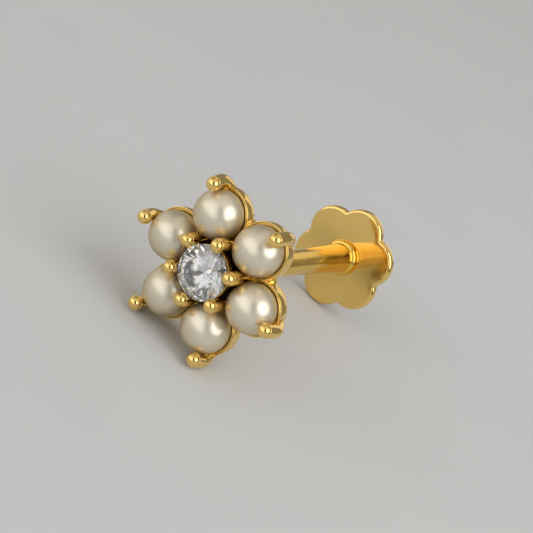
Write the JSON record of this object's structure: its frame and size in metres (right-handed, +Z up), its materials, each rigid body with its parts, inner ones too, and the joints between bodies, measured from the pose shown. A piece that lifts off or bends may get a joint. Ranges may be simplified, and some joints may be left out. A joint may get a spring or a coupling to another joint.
{
  "type": "nose pin",
  "caption": "Flower stud for the nose: pearls in soldered gold cups round a brilliant, with a hollow post and a lobed back plate that comes off.",
  "frame": {"origin": "on the surface that the stud lies on, under the middle of its box", "axes": "+Y runs from the flower to the back plate, +Z is up, and the flower faces -Y"},
  "size_m": [0.0076, 0.013, 0.0066],
  "materials": {
    "gold": "mirror-polished yellow gold",
    "pearl": "satin-bright champagne nacre",
    "stone": "polished colourless facets"
  },
  "bodies": {
    "flower": {"setting": "gold", "pearl_1": "pearl", "pearl_2": "pearl", "pearl_3": "pearl", "pearl_4": "pearl", "pearl_5": "pearl", "pearl_6": "pearl", "centre_stone": "stone"},
    "back": {"back": "gold"}
  },
  "joints": [
    {"name": "back_off", "type": "slide", "parent": "flower", "child": "back", "axis": [0, 0.9972, -0.0748], "range_m": [0, 0.005]}
  ]
}
